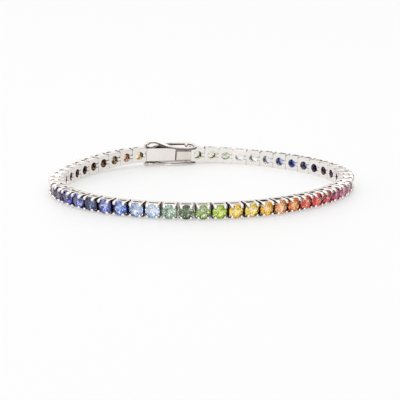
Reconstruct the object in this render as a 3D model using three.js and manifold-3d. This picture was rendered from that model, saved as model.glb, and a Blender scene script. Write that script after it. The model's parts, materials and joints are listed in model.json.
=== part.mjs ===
// A tennis bracelet that lies on its edge as a closed oval: square open links, each with one round
// cut stone facing outward, a box clasp at the back, and a figure-eight safety latch above and
// below the clasp. Millimetres, +Z up. The front of the oval is at -Y and the clasp is at the back.
//
// A link is drawn in a frame of its own: +X points away from the wrist and is 0 at the inner face,
// +Y runs along the line of links, counter-clockwise seen from above, and +Z is up. The clasp is
// drawn in a frame like it, with its origin at the hinge of the box and its parts towards -Y.

import * as THREE from "three";
import { mergeVertices } from "three/addons/utils/BufferGeometryUtils.js";
import Module from "manifold-3d";

// The line of links, from the box's end counter-clockwise to the tongue's end
const LINK_COUNT = 50;
const FIRST_HALF_COUNT = 25;
const PITCH = 3.34;
const CLASP_LENGTH = 11.05;
const BOX_HINGE_AT = 53.59;
const PIN_AT = 0.55;

// How high the clasp's two ends stand off the surface, and over how many links that falls to none
const BOX_END = { lift: 1.25, links: 7 };
const TONGUE_END = { lift: 0.58, links: 4 };

// The oval that the hinge pins follow: waves of its radius round one turn, as shares of its size
const OVAL_WAVES = [
  { cosine: 0.0327, sine: -0.283 },
  { cosine: 0.0562, sine: 0.0785 },
  { cosine: 0.0191, sine: -0.0243 },
  { cosine: 0.0033, sine: -0.0028 },
  { cosine: 0.013, sine: 0.0014 },
];
const OVAL_SAMPLES = 1440;

// One link. A prong leans over the stone by PRONG_LEAN along the line, and from foot to tip across it.
const LINK = { height: 3.3, length: 3.16, base: 0.62, railBottom: 1.75, railTop: 2.2 };
const PRONG = { top: 3.32, width: 0.65, lean: 0.2, footGap: 1.8, tipGap: 1.3 };
const BASE_HOLE = { radius: 0.95, sides: 8 };

// One stone, whose levels are measured outward from the link's inner face
const STONE = { facets: 8, girdleRadius: 1.45, tableRadius: 0.84, culet: 1.15, girdle: 2.36, table: 3.02 };

// A closed hinge inside the line is a fused bar, and one between two pieces has an eye on a pin
const KNUCKLE = { height: 1.1, thickness: 0.66, sink: 0.15 };
const EYE = { radius: 0.45, hole: 0.31, pin: 0.18, sides: 8, setIn: 0.3 };
const SLOT = { height: 1.6, depth: 0.9 };

// Box clasp. START and END are distances from the hinge pin at the box's end.
const CLASP_THICKNESS = 3.1;
const BOX = { start: 0.2, end: 7.22, height: 2.9, wall: 0.42, endWall: 0.5 };
const TONGUE = { start: 7.52, end: 11.0, top: 0.62, bottom: -1.4, drop: 0.25, inset: 0.12 };
const SPRING = { length: 5.2, width: 1.4, leaf: 0.35, low: 0.95, high: 2.35, freeEnd: 1.0, fold: 0.5 };

// Safety latches. Each one's wire lies in a plane beside the box, at a distance from its middle.
const WIRE = { radius: 0.27, sides: 6 };
const LATCH = { upperPlane: 1.85, lowerPlane: 2.18, hinge: 0.75, middle: 1.6 };
const SMALL_LOOP = { start: LATCH.hinge, end: 4.0, width: 2.3, taper: -0.12, steps: 16 };
const LARGE_LOOP = { start: 3.75, end: 12.35, width: 3.0, taper: 0.12, steps: 24 };
const LUG = { upperLevel: 1.95, lowerLevel: 2.1, radius: 0.75, hole: 0.46, thickness: 0.6, sides: 12 };
const STUD = { upperLevel: 1.8, lowerLevel: 2.0, at: 10.4, post: 0.22, ball: 0.42, sides: 10, sink: 0.2 };

// How far a cutting solid runs past what it cuts
const OVERRUN = 0.4;

const whiteGold = new THREE.MeshStandardMaterial({ color: 0xe9e4e0, roughness: 0.12, metalness: 1 });
const setLinks = new THREE.MeshStandardMaterial({ color: 0xd9d3d2, roughness: 0.15, metalness: 0.9 });
const goldWire = new THREE.MeshStandardMaterial({ color: 0xddd6d0, roughness: 0.2, metalness: 1 });

const wasm = await Module();
wasm.setup();

// A closed geometry as a solid that can be joined and cut
function solid(geometry) {
  const bare = new THREE.BufferGeometry();
  bare.setAttribute("position", geometry.attributes.position.clone());
  if (geometry.index) bare.setIndex(geometry.index.clone());
  const merged = mergeVertices(bare, 1e-4);
  return new wasm.Manifold(new wasm.Mesh({
    numProp: 3,
    vertProperties: new Float32Array(merged.attributes.position.array),
    triVerts: new Uint32Array(merged.index.array),
  }));
}

function geometryOf(manifold) {
  const mesh = manifold.getMesh();
  const geometry = new THREE.BufferGeometry();
  geometry.setAttribute("position", new THREE.BufferAttribute(mesh.vertProperties, 3));
  geometry.setIndex(new THREE.BufferAttribute(mesh.triVerts, 1));
  return geometry;
}

function placed(manifold, frame) {
  return solid(geometryOf(manifold).applyMatrix4(frame));
}

// A box between two opposite corners
function block(corner, opposite) {
  const size = corner.map((value, axis) => Math.abs(opposite[axis] - value));
  const middle = corner.map((value, axis) => (opposite[axis] + value) / 2);
  return solid(new THREE.BoxGeometry(...size).translate(...middle));
}

// A flat outline in X and Y, with holes, made HEIGHT tall about the level MIDDLE
function plate(outline, height, middle = 0, holes = []) {
  const shape = new THREE.Shape(outline.map(([x, y]) => new THREE.Vector2(x, y)));
  holes.forEach((hole) => shape.holes.push(new THREE.Path(hole.map(([x, y]) => new THREE.Vector2(x, y)))));
  const geometry = new THREE.ExtrudeGeometry(shape, { depth: height, bevelEnabled: false });
  return solid(geometry.translate(0, 0, middle - height / 2));
}

// The corners of an even polygon with flat sides towards the axes
function polygon(x, y, radius, sides) {
  return Array.from({ length: sides }, (_, side) => {
    const angle = (2 * Math.PI * (side + 0.5)) / sides;
    return [x + radius * Math.cos(angle), y + radius * Math.sin(angle)];
  });
}

// A round bar along X
function crossBar(radius, sides, from, to) {
  const bar = new THREE.CylinderGeometry(radius, radius, to - from, sides);
  return bar.rotateY(Math.PI / sides).rotateZ(-Math.PI / 2).translate((from + to) / 2, 0, 0);
}

// The oval, as a function from distance along it to a point, scaled to a whole length
function ovalOfLength(wholeLength) {
  const points = [];
  const lengths = [0];
  for (let i = 0; i <= OVAL_SAMPLES; i += 1) {
    const turn = (2 * Math.PI * i) / OVAL_SAMPLES;
    const radius = OVAL_WAVES.reduce((sum, { cosine, sine }, order) => (
      sum + cosine * Math.cos((order + 1) * turn) + sine * Math.sin((order + 1) * turn)
    ), 1);
    points.push(new THREE.Vector2(radius * Math.cos(turn), radius * Math.sin(turn)));
    if (i > 0) lengths.push(lengths[i - 1] + points[i].distanceTo(points[i - 1]));
  }
  const size = wholeLength / lengths[OVAL_SAMPLES];
  return (distance) => {
    const along = (distance % wholeLength) / size;
    const after = Math.max(1, lengths.findIndex((length) => length > along));
    const share = (along - lengths[after - 1]) / (lengths[after] - lengths[after - 1]);
    return points[after - 1].clone().lerp(points[after], share).multiplyScalar(size);
  };
}

// The height above the surface that the line has COUNT links away from an end of the clasp
function liftNear({ lift, links }, count) {
  const share = Math.min(1, count / links);
  return lift * (1 - share * share * (3 - 2 * share));
}

// The axes of a piece whose line runs between two points
function axesAlong(from, to) {
  const along = to.clone().sub(from).normalize();
  const outward = new THREE.Vector3(along.y, -along.x, 0).normalize();
  return { outward, along, up: outward.clone().cross(along) };
}

function frameAt(point, { outward, along, up }) {
  const origin = point.clone().addScaledVector(outward, -PIN_AT);
  return new THREE.Matrix4().makeBasis(outward, along, up).setPosition(origin);
}

const oval = ovalOfLength(LINK_COUNT * PITCH + CLASP_LENGTH);
const pins = Array.from({ length: LINK_COUNT + 1 }, (_, pin) => {
  const at = oval(BOX_HINGE_AT + pin * PITCH);
  const lift = liftNear(BOX_END, pin) + liftNear(TONGUE_END, LINK_COUNT - pin);
  return new THREE.Vector3(at.x, at.y, LINK.height / 2 + lift);
});
const claspTail = pins[LINK_COUNT].clone().add(new THREE.Vector3(0, 0, TONGUE.drop));
const claspFrame = frameAt(pins[0], axesAlong(claspTail, pins[0]));

function linkFrame(link) {
  const middle = pins[link].clone().lerp(pins[link + 1], 0.5);
  return frameAt(middle, axesAlong(pins[link], pins[link + 1]));
}

// The link's metal: a square ring of base, ends and rail, a prong at each corner, and the round
// hole through the base behind the stone
function linkMetal() {
  const end = LINK.length / 2;
  const inner = end - PRONG.width;
  const outline = [
    [0, -end],
    [LINK.railTop, -end],
    [PRONG.top, -end + PRONG.lean],
    [PRONG.top, -inner + PRONG.lean],
    [LINK.railTop, -inner],
    [LINK.railTop, inner],
    [PRONG.top, inner - PRONG.lean],
    [PRONG.top, end - PRONG.lean],
    [LINK.railTop, end],
    [0, end],
  ];
  const window = [
    [LINK.base, -inner],
    [LINK.base, inner],
    [LINK.railBottom, inner],
    [LINK.railBottom, -inner],
  ];
  const hole = crossBar(BASE_HOLE.radius, BASE_HOLE.sides, -OVERRUN, LINK.base + OVERRUN);
  return plate(outline, LINK.height, 0, [window]).subtract(prongGap()).subtract(solid(hole));
}

// The space between the upper and the lower prongs, wider at their feet than at their tips
function prongGap() {
  const tip = PRONG.top + OVERRUN;
  const outline = [
    [LINK.railTop, -PRONG.footGap / 2],
    [tip, -PRONG.tipGap / 2],
    [tip, PRONG.tipGap / 2],
    [LINK.railTop, PRONG.footGap / 2],
  ];
  const turned = new THREE.Matrix4().makeRotationX(Math.PI / 2);
  return placed(plate(outline, LINK.length + OVERRUN), turned);
}

// A round stone with a table, a crown and a pavilion, its table facing outward
function stone() {
  const profile = [
    new THREE.Vector2(0, STONE.culet),
    new THREE.Vector2(STONE.girdleRadius, STONE.girdle),
    new THREE.Vector2(STONE.tableRadius, STONE.table),
    new THREE.Vector2(0, STONE.table),
  ];
  const cut = new THREE.LatheGeometry(profile, STONE.facets);
  return solid(cut.rotateY(Math.PI / STONE.facets).rotateZ(-Math.PI / 2));
}

// The bar that joins a link to the next one at +Y
function knuckle() {
  const start = LINK.length / 2 - KNUCKLE.sink;
  const finish = PITCH - LINK.length / 2 + KNUCKLE.sink;
  const low = PIN_AT - KNUCKLE.thickness / 2;
  return block(
    [low, start, -KNUCKLE.height / 2],
    [low + KNUCKLE.thickness, finish, KNUCKLE.height / 2],
  );
}

// A hinge at an end face at Y that looks towards FACING (1 or -1): the slot cut into that end, the
// pin set across it, and the eyed knuckle that the neighbour, GAP away, holds round the pin
function hinge({ y, facing, gap, middle = 0 }) {
  const inside = (depth) => y - facing * depth;
  const level = (LINK.base + LINK.railBottom) / 2;
  const half = KNUCKLE.height / 2;
  const slot = block(
    [LINK.base, inside(-OVERRUN), middle - SLOT.height / 2],
    [LINK.railBottom, inside(SLOT.depth), middle + SLOT.height / 2],
  );
  const ring = (radius, height) => (
    plate(polygon(level, inside(EYE.setIn), radius, EYE.sides), height, middle)
  );
  const bar = block(
    [level - KNUCKLE.thickness / 2, inside(-gap - KNUCKLE.sink), middle - half],
    [level + KNUCKLE.thickness / 2, inside(EYE.setIn), middle + half],
  );
  return {
    slot,
    pin: ring(EYE.pin, SLOT.height + 2 * KNUCKLE.sink),
    eye: bar.add(ring(EYE.radius, KNUCKLE.height)).subtract(ring(EYE.hole, KNUCKLE.height + OVERRUN)),
  };
}

const linkGap = PITCH - LINK.length;
const middleHinge = hinge({ y: -LINK.length / 2, facing: -1, gap: linkGap });
const boxHinge = hinge({ y: -BOX.start, facing: 1, gap: BOX.start + linkGap / 2 });
const tongueHinge = hinge({
  y: -TONGUE.end,
  facing: -1,
  gap: CLASP_LENGTH - TONGUE.end + linkGap / 2,
  middle: -TONGUE.drop,
});

// COUNT links from the link FIRST on, fused with their stones and with each other
function lineOfLinks(first, count) {
  const plain = linkMetal().add(stone());
  const hinged = plain.add(knuckle());
  const links = Array.from({ length: count }, (_, i) => (
    placed(i < count - 1 ? hinged : plain, linkFrame(first + i))
  ));
  return links.reduce((line, link) => line.add(link));
}

// The line on the box's side has an eye at both ends
function boxSideLine() {
  return lineOfLinks(0, FIRST_HALF_COUNT)
    .add(placed(boxHinge.eye, claspFrame))
    .add(placed(middleHinge.eye, linkFrame(FIRST_HALF_COUNT)));
}

// The line on the tongue's side starts with the slot for the other line's eye
function tongueSideLine() {
  const frame = linkFrame(FIRST_HALF_COUNT);
  return lineOfLinks(FIRST_HALF_COUNT, LINK_COUNT - FIRST_HALF_COUNT)
    .subtract(placed(middleHinge.slot, frame))
    .add(placed(middleHinge.pin, frame))
    .add(placed(tongueHinge.eye, claspFrame));
}

// The lug that stands on the box's upper side for a latch's wire to turn in
function lug(level) {
  const near = LATCH.middle - LUG.thickness / 2;
  const far = LATCH.middle + LUG.thickness / 2;
  const hole = crossBar(LUG.hole, LUG.sides, near - OVERRUN, far + OVERRUN);
  const ring = solid(crossBar(LUG.radius, LUG.sides, near, far)).subtract(solid(hole));
  return placed(ring, new THREE.Matrix4().makeTranslation(0, -LATCH.hinge, level));
}

// What stands on the clasp's upper side, turned over to its lower side
function turnedOver(manifold) {
  const overAndBack = new THREE.Matrix4().makeScale(1, 1, -1);
  const geometry = geometryOf(manifold).applyMatrix4(overAndBack);
  const index = geometry.index.array;
  for (let i = 0; i < index.length; i += 3) [index[i], index[i + 1]] = [index[i + 1], index[i]];
  return solid(geometry);
}

// The box: a shell that is open towards the tongue
function claspBox() {
  const half = BOX.height / 2;
  const outside = block([0, -BOX.end, -half], [CLASP_THICKNESS, -BOX.start, half]);
  const cavity = block(
    [BOX.wall, -BOX.end - OVERRUN, -half + BOX.wall],
    [CLASP_THICKNESS - BOX.wall, -BOX.start - BOX.endWall, half - BOX.wall],
  );
  return outside
    .subtract(cavity)
    .subtract(boxHinge.slot)
    .add(boxHinge.pin)
    .add(lug(LUG.upperLevel))
    .add(turnedOver(lug(LUG.lowerLevel)));
}

// A ball stud on a surface at the level BASE, for a latch to snap over
function stud(base, ballLevel) {
  const profile = [
    new THREE.Vector2(0, base - STUD.sink),
    new THREE.Vector2(STUD.post, base - STUD.sink),
    new THREE.Vector2(STUD.post, ballLevel - STUD.ball * 0.85),
    new THREE.Vector2(STUD.ball, ballLevel),
    new THREE.Vector2(STUD.ball * 0.7, ballLevel + STUD.ball * 0.7),
    new THREE.Vector2(0, ballLevel + STUD.ball),
  ];
  const turned = new THREE.LatheGeometry(profile, STUD.sides).rotateX(Math.PI / 2);
  return solid(turned.translate(CLASP_THICKNESS / 2, -STUD.at, 0));
}

// The tongue: the end block, the folded leaf spring inside the box, and the two studs
function claspTongue() {
  const end = block(
    [TONGUE.inset, -TONGUE.end, TONGUE.bottom],
    [CLASP_THICKNESS - TONGUE.inset, -TONGUE.start, TONGUE.top],
  );
  const foldAt = TONGUE.start - SPRING.length;
  const freeAt = TONGUE.start - SPRING.freeEnd;
  const leafTop = SPRING.low + SPRING.leaf;
  const spring = plate([
    [SPRING.low, -TONGUE.start - KNUCKLE.sink],
    [leafTop, -TONGUE.start - KNUCKLE.sink],
    [leafTop, -foldAt - SPRING.fold],
    [SPRING.high - SPRING.leaf, -freeAt],
    [SPRING.high, -freeAt],
    [leafTop + SPRING.leaf, -foldAt],
    [SPRING.low, -foldAt],
  ], SPRING.width);
  return end
    .add(spring)
    .subtract(tongueHinge.slot)
    .add(tongueHinge.pin)
    .add(stud(TONGUE.top, STUD.upperLevel))
    .add(turnedOver(stud(-TONGUE.bottom, STUD.lowerLevel)));
}

// A closed loop of round wire in the latch's plane: a ring drawn out between two distances from
// the clasp's hinge pin, wider towards its far end when TAPER is above 0
function wireLoop({ start, end, width, taper, steps }) {
  const outline = (turn) => new THREE.Vector2(
    LATCH.middle + (width / 2) * (1 + taper * Math.cos(turn)) * Math.sin(turn),
    -(start + end) / 2 - ((end - start) / 2) * Math.cos(turn),
  );
  const ring = new THREE.TorusGeometry(1, WIRE.radius, WIRE.sides, steps);
  const position = ring.attributes.position;
  const small = 1e-3;
  for (let i = 0; i < position.count; i += 1) {
    const turn = Math.atan2(position.getY(i), position.getX(i));
    const aside = Math.hypot(position.getX(i), position.getY(i)) - 1;
    const along = outline(turn + small).sub(outline(turn - small)).normalize();
    const at = outline(turn);
    position.setXY(i, at.x + along.y * aside, at.y - along.x * aside);
  }
  return solid(ring);
}

// A figure-eight latch, flat in the plane Z = 0 of the clasp's frame
function safetyLatch() {
  return wireLoop(SMALL_LOOP).add(wireLoop(LARGE_LOOP));
}

function part(name, manifold, material) {
  const mesh = new THREE.Mesh(geometryOf(manifold), material);
  mesh.name = name;
  return mesh;
}

const upperLatch = part("safety_latch_upper", safetyLatch(), goldWire);
upperLatch.position.z = LATCH.upperPlane;
const lowerLatch = part("safety_latch_lower", safetyLatch(), goldWire);
lowerLatch.position.z = -LATCH.lowerPlane;

const clasp = new THREE.Group();
clasp.add(
  part("clasp_box", claspBox(), whiteGold),
  part("clasp_tongue", claspTongue(), whiteGold),
  upperLatch,
  lowerLatch,
);
clasp.applyMatrix4(claspFrame);

const bracelet = new THREE.Group();
bracelet.add(
  part("link_line_box_side", boxSideLine(), setLinks),
  part("link_line_tongue_side", tongueSideLine(), setLinks),
  clasp,
);

// The origin is the middle of the surface that the bracelet lies on
const extent = new THREE.Box3().setFromObject(bracelet, true);
const middle = extent.getCenter(new THREE.Vector3());
bracelet.position.set(-middle.x, -middle.y, -extent.min.z);

export default bracelet;
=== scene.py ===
"""A tennis bracelet of rainbow sapphires in white gold, closed and lying on its edge.

The line is fifty square links, each an open gallery with four prongs round a cut stone. At the
back a box clasp closes it, with a figure-eight wire latch above and below. Shapes are drawn in
millimetres in the frame of their own piece and placed in the row's frame, in metres.
"""

import json
import logging
import math
import random
from dataclasses import dataclass, field
from enum import Enum
from typing import Callable, Sequence

import bmesh
import bpy
from mathutils import Matrix, Vector


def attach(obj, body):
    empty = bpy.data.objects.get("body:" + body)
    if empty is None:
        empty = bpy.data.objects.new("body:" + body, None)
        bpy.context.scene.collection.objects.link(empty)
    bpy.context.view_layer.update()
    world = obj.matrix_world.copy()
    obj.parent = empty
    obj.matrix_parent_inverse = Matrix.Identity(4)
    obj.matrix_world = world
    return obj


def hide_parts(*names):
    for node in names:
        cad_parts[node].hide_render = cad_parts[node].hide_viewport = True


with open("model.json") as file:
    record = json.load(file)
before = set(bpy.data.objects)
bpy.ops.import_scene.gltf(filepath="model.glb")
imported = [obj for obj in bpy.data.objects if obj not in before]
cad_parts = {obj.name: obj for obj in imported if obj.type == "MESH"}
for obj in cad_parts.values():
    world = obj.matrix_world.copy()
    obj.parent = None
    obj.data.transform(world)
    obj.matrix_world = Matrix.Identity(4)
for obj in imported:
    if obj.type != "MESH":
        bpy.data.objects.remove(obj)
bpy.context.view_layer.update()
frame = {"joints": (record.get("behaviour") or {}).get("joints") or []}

MM = 0.001
SEED = 50
SHARP_ABOVE_DEG = 30
SMOOTH_BELOW_DEG = 38
WIRE_SMOOTH_BELOW_DEG = 60
# The corners of a rectangle, counter-clockwise, and how many points round one off
CORNER_SIDES = ((1, 1), (-1, 1), (-1, -1), (1, -1))
CORNER_POINTS = 4
# A colour mix node's sockets by place, since other data types have sockets of the same names
MIX_A, MIX_B, MIX_RESULT = 6, 7, 2

log = logging.getLogger("bracelet")

Point = tuple[float, float, float]
Ring = list[Vector]
Finish = tuple[bpy.types.Material, ...]


# Colour and nodes


def linear(hex_colour: str) -> tuple[float, float, float, float]:
    """Turns an sRGB hex colour into linear light.

    Args:
        hex_colour: The colour as six hex digits.

    Returns:
        Red, green and blue in linear light, and an alpha of 1.
    """
    channels = [int(hex_colour[i : i + 2], 16) / 255 for i in (0, 2, 4)]
    red, green, blue = (
        c / 12.92 if c <= 0.04045 else ((c + 0.055) / 1.055) ** 2.4 for c in channels
    )
    return (red, green, blue, 1.0)


def add_node(
    tree: bpy.types.NodeTree, kind: str, inputs: dict | None = None, **settings: object
) -> bpy.types.Node:
    """Adds a node to a tree with its settings and links.

    Args:
        tree: The node tree that takes the node.
        kind: Blender's name of the node type.
        inputs: For each input, by name or place, a value or the output socket that feeds it.
        settings: Attributes set on the node.

    Returns:
        The new node.
    """
    node = tree.nodes.new(kind)
    for name, value in settings.items():
        setattr(node, name, value)
    for name, value in (inputs or {}).items():
        if isinstance(value, bpy.types.NodeSocket):
            tree.links.new(value, node.inputs[name])
        else:
            node.inputs[name].default_value = value
    return node


def new_material(name: str) -> tuple[bpy.types.Material, bpy.types.NodeTree]:
    """Makes an empty node material.

    Args:
        name: The material's name.

    Returns:
        The material and its node tree.
    """
    material = bpy.data.materials.new(name)
    material.use_nodes = True
    material.node_tree.nodes.clear()
    return material, material.node_tree


# Finishes


@dataclass(frozen=True)
class WhiteGold:
    """Rhodium plated 14 karat white gold, mirror polished: a bright, faintly warm silver.

    Hand polishing leaves a slow waviness about a millimetre long and fine hairlines, so that
    reflections run and break up a little. Real hairlines are 0.02 mm wide, and these are drawn
    about 0.15 mm wide so that they show. Between and inside the links, where an ambient occlusion
    test finds the metal hemmed in, the colour is painted nearly black as painted shade.
    """

    name: str
    bright: str = "F3F0EC"
    warm: str = "E6E0DA"
    roughness_low: float = 0.07
    roughness_high: float = 0.2
    tint_size_mm: float = 2.4
    wave_size_mm: float = 1.1
    hairline_size_mm: float = 0.15
    hairline_range: tuple[float, float] = (0.3, 0.7)
    bump_mm: float = 0.012
    bump_strength: float = 0.35
    # Painted shade: an ambient occlusion mask darkens the colour towards near black in gaps and hollows
    ao_shade_colour: str = "140E0A"
    ao_shade_distance_mm: float = 3.2
    ao_shade_full_below: float = 0.05
    ao_shade_none_above: float = 0.22
    ao_shade_samples: int = 8

    def material(self) -> bpy.types.Material:
        """Builds the polished metal.

        Returns:
            The material.
        """
        material, tree = new_material(self.name)
        place = add_node(tree, "ShaderNodeTexCoord").outputs["Object"]
        tint = add_node(
            tree,
            "ShaderNodeTexNoise",
            {"Vector": place, "Scale": 1 / (self.tint_size_mm * MM), "Detail": 2.0},
        )
        colour = add_node(
            tree,
            "ShaderNodeMix",
            {
                "Factor": tint.outputs["Fac"],
                MIX_A: linear(self.bright),
                MIX_B: linear(self.warm),
            },
            data_type="RGBA",
        )
        # Painted shade: the colour goes towards near black where the ambient occlusion test finds the
        # metal hemmed in
        occlusion = add_node(
            tree,
            "ShaderNodeAmbientOcclusion",
            {"Distance": self.ao_shade_distance_mm * MM},
            samples=self.ao_shade_samples,
            only_local=True,
        )
        unshaded_share = add_node(
            tree,
            "ShaderNodeMapRange",
            {
                "Value": occlusion.outputs["AO"],
                "From Min": self.ao_shade_full_below,
                "From Max": self.ao_shade_none_above,
            },
        )
        colour = add_node(
            tree,
            "ShaderNodeMix",
            {
                "Factor": unshaded_share.outputs["Result"],
                MIX_A: linear(self.ao_shade_colour),
                MIX_B: colour.outputs[MIX_RESULT],
            },
            data_type="RGBA",
        )
        wave = add_node(
            tree,
            "ShaderNodeTexNoise",
            {"Vector": place, "Scale": 1 / (self.wave_size_mm * MM), "Detail": 1.0},
        )
        hairline = add_node(
            tree,
            "ShaderNodeTexNoise",
            {"Vector": place, "Scale": 1 / (self.hairline_size_mm * MM), "Detail": 3.0},
        )
        roughness = add_node(
            tree,
            "ShaderNodeMapRange",
            {
                "Value": hairline.outputs["Fac"],
                "From Min": self.hairline_range[0],
                "From Max": self.hairline_range[1],
                "To Min": self.roughness_low,
                "To Max": self.roughness_high,
            },
        )
        bump = add_node(
            tree,
            "ShaderNodeBump",
            {
                "Height": wave.outputs["Fac"],
                "Strength": self.bump_strength,
                "Distance": self.bump_mm * MM,
            },
        )
        shader = add_node(
            tree,
            "ShaderNodeBsdfPrincipled",
            {
                "Base Color": colour.outputs[MIX_RESULT],
                "Metallic": 1.0,
                "Roughness": roughness.outputs["Result"],
                "Normal": bump.outputs["Normal"],
            },
        )
        add_node(tree, "ShaderNodeOutputMaterial", {"Surface": shader.outputs[0]})
        return material


@dataclass(frozen=True)
class PaintedShadeGold:
    """Painted shade in white gold: dark, with a dull gleam, for faces that little light reaches.

    Its colour is nearly black in the narrow gaps, and brownish grey as a lighter painted shade on the
    clasp.
    """

    name: str = "painted_shade_dark_gold"
    colour: str = "2E2621"
    roughness: float = 0.35
    grain_size_mm: float = 0.5
    bump_mm: float = 0.02
    bump_strength: float = 0.4

    def material(self) -> bpy.types.Material:
        """Builds the dark metal of painted shade, slightly uneven like a casting.

        Returns:
            The material.
        """
        material, tree = new_material(self.name)
        place = add_node(tree, "ShaderNodeTexCoord").outputs["Object"]
        grain = add_node(
            tree,
            "ShaderNodeTexNoise",
            {"Vector": place, "Scale": 1 / (self.grain_size_mm * MM)},
        )
        bump = add_node(
            tree,
            "ShaderNodeBump",
            {
                "Height": grain.outputs["Fac"],
                "Strength": self.bump_strength,
                "Distance": self.bump_mm * MM,
            },
        )
        shader = add_node(
            tree,
            "ShaderNodeBsdfPrincipled",
            {
                "Base Color": linear(self.colour),
                "Metallic": 1.0,
                "Roughness": self.roughness,
                "Normal": bump.outputs["Normal"],
            },
        )
        add_node(tree, "ShaderNodeOutputMaterial", {"Surface": shader.outputs[0]})
        return material


class Hue(Enum):
    """Colours of sapphire round the bracelet, as sRGB hex."""

    SMOKE_GREEN = "E8ECD8"
    PALE_LIME = "E8E8D0"
    PALE_TEAL = "D8E0D0"
    CLEAR = "FCFCFC"
    LAVENDER = "ECEEFA"
    BLUE = "C0CCEC"
    DEEP_BLUE = "94A8E8"
    INDIGO = "6470BC"
    DEEP_INDIGO = "3C44A0"
    DARK_VIOLET = "5C489C"
    PURPLE = "805CB8"
    MAUVE = "B084B4"
    DUSTY_PINK = "DCA8B8"
    ROSE = "F0A4C0"
    ORCHID = "F4A4CC"
    MAGENTA = "EC54A0"
    CRIMSON = "F04858"
    RED = "FC6C48"
    SCARLET = "FC9058"
    DEEP_ORANGE = "FCAC38"
    PEACH = "FCCC8C"
    GOLDEN_ORANGE = "FCD850"
    GOLDEN_YELLOW = "FCE66C"
    YELLOW = "FCEA80"
    LIME = "C8DC38"
    APPLE_GREEN = "B6CC84"
    DARK_GREEN = "60804C"
    SEA_GREEN = "B0CCB8"
    ICE_BLUE = "D0E0F4"
    SKY_BLUE = "BCCCE8"
    BRIGHT_BLUE = "7098E0"
    PERIWINKLE = "7C90D4"
    STEEL_BLUE = "284C94"
    VIOLET_BLUE = "8C94E4"
    GREY_VIOLET = "9084E4"
    GARNET_BROWN = "8C402C"
    CHESTNUT = "8C5834"
    AMBER = "90602C"
    OLIVE_GOLD = "947830"
    TAN = "E4BC90"
    CHAMPAGNE = "F8ECCC"


# The stones in order from the tongue's end to the box's end, as the line shows them
STONE_ORDER = (
    Hue.SMOKE_GREEN, Hue.PALE_LIME, Hue.PALE_TEAL, Hue.CLEAR, Hue.CLEAR,
    Hue.LAVENDER, Hue.BLUE, Hue.DEEP_BLUE, Hue.INDIGO, Hue.DEEP_INDIGO,
    Hue.DARK_VIOLET, Hue.PURPLE, Hue.MAUVE, Hue.DUSTY_PINK, Hue.DUSTY_PINK,
    Hue.ROSE, Hue.ORCHID, Hue.MAGENTA, Hue.CRIMSON, Hue.RED,
    Hue.SCARLET, Hue.DEEP_ORANGE, Hue.PEACH, Hue.GOLDEN_ORANGE, Hue.YELLOW,
    Hue.GOLDEN_YELLOW, Hue.LIME, Hue.APPLE_GREEN, Hue.DARK_GREEN, Hue.SEA_GREEN,
    Hue.ICE_BLUE, Hue.SKY_BLUE, Hue.BRIGHT_BLUE, Hue.PERIWINKLE, Hue.STEEL_BLUE,
    Hue.VIOLET_BLUE, Hue.GREY_VIOLET, Hue.PURPLE, Hue.MAUVE, Hue.MAUVE,
    Hue.DUSTY_PINK, Hue.MAGENTA, Hue.GARNET_BROWN, Hue.GARNET_BROWN, Hue.GARNET_BROWN,
    Hue.CHESTNUT, Hue.AMBER, Hue.OLIVE_GOLD, Hue.TAN, Hue.CHAMPAGNE,
)


@dataclass(frozen=True)
class Sapphire:
    """Cut and polished corundum: clear, strongly coloured, with sharp bright facets.

    Its index of refraction is 1.77, so the pavilion throws most light back out of the crown in
    patches about half a millimetre wide. These patches are painted into the colour as fixed
    painted glints and painted shade: a pale patch stands for a short way through the stone, and a
    deep, strongly coloured one for a long way of several reflections.
    """

    hue: Hue
    # The mesh attribute that is 1 at the girdle, where the colour gets painted shade from the setting
    rim: str = "rim"
    ior: float = 1.77
    transmission: float = 1.0
    roughness: float = 0.02
    patch_size_mm: float = 0.55
    # How far light goes through the stone, as shares of the way that gives the hue itself; the long way
    # paints shade and the short way paints glints
    painted_dark_way: float = 3.2
    usual_way: float = 1.0
    painted_glint_way: float = 0.15
    # Where the usual and the short way stand among the patches' draws, from 0 for the long way
    usual_at: float = 0.3
    painted_glint_from: float = 0.7
    # How much lower a draw is at the rim, as painted shade round the stone's edge
    rim_painted_shade: float = 0.7

    def _through(self, way: float) -> tuple[float, float, float, float]:
        """Returns what the stone leaves of white light, for a way through it."""
        return tuple(c**way for c in linear(self.hue.value)[:3]) + (1.0,)

    def material(self) -> bpy.types.Material:
        """Builds the stone's glassy coloured body, with painted glints and painted shade in its colour.

        Returns:
            The material.
        """
        material, tree = new_material(f"sapphire_{self.hue.name.lower()}")
        place = add_node(tree, "ShaderNodeTexCoord").outputs["Object"]
        # Painted glints and painted shade: fixed patches, pale or deep, in the stone's base colour
        patches = add_node(
            tree,
            "ShaderNodeTexVoronoi",
            {"Vector": place, "Scale": 1 / (self.patch_size_mm * MM)},
        )
        draw = add_node(tree, "ShaderNodeSeparateColor", {"Color": patches.outputs["Color"]})
        rim = add_node(tree, "ShaderNodeAttribute", attribute_name=self.rim)
        # Painted shade: the draw is pushed towards the deep colour at the girdle
        depth = add_node(
            tree,
            "ShaderNodeMath",
            {0: rim.outputs["Fac"], 1: -self.rim_painted_shade, 2: draw.outputs["Red"]},
            operation="MULTIPLY_ADD",
        )
        ramp = add_node(tree, "ShaderNodeValToRGB", {"Fac": depth.outputs[0]})
        elements = ramp.color_ramp.elements
        elements.new(self.usual_at)
        stops = (
            (0.0, self.painted_dark_way),
            (self.usual_at, self.usual_way),
            (self.painted_glint_from, self.painted_glint_way),
        )
        for element, (position, way) in zip(elements, stops):
            element.position = position
            element.color = self._through(way)
        shader = add_node(
            tree,
            "ShaderNodeBsdfPrincipled",
            {
                "Base Color": ramp.outputs["Color"],
                "Roughness": self.roughness,
                "IOR": self.ior,
                "Transmission Weight": self.transmission,
            },
        )
        add_node(tree, "ShaderNodeOutputMaterial", {"Surface": shader.outputs[0]})
        return material


# Shapes


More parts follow.
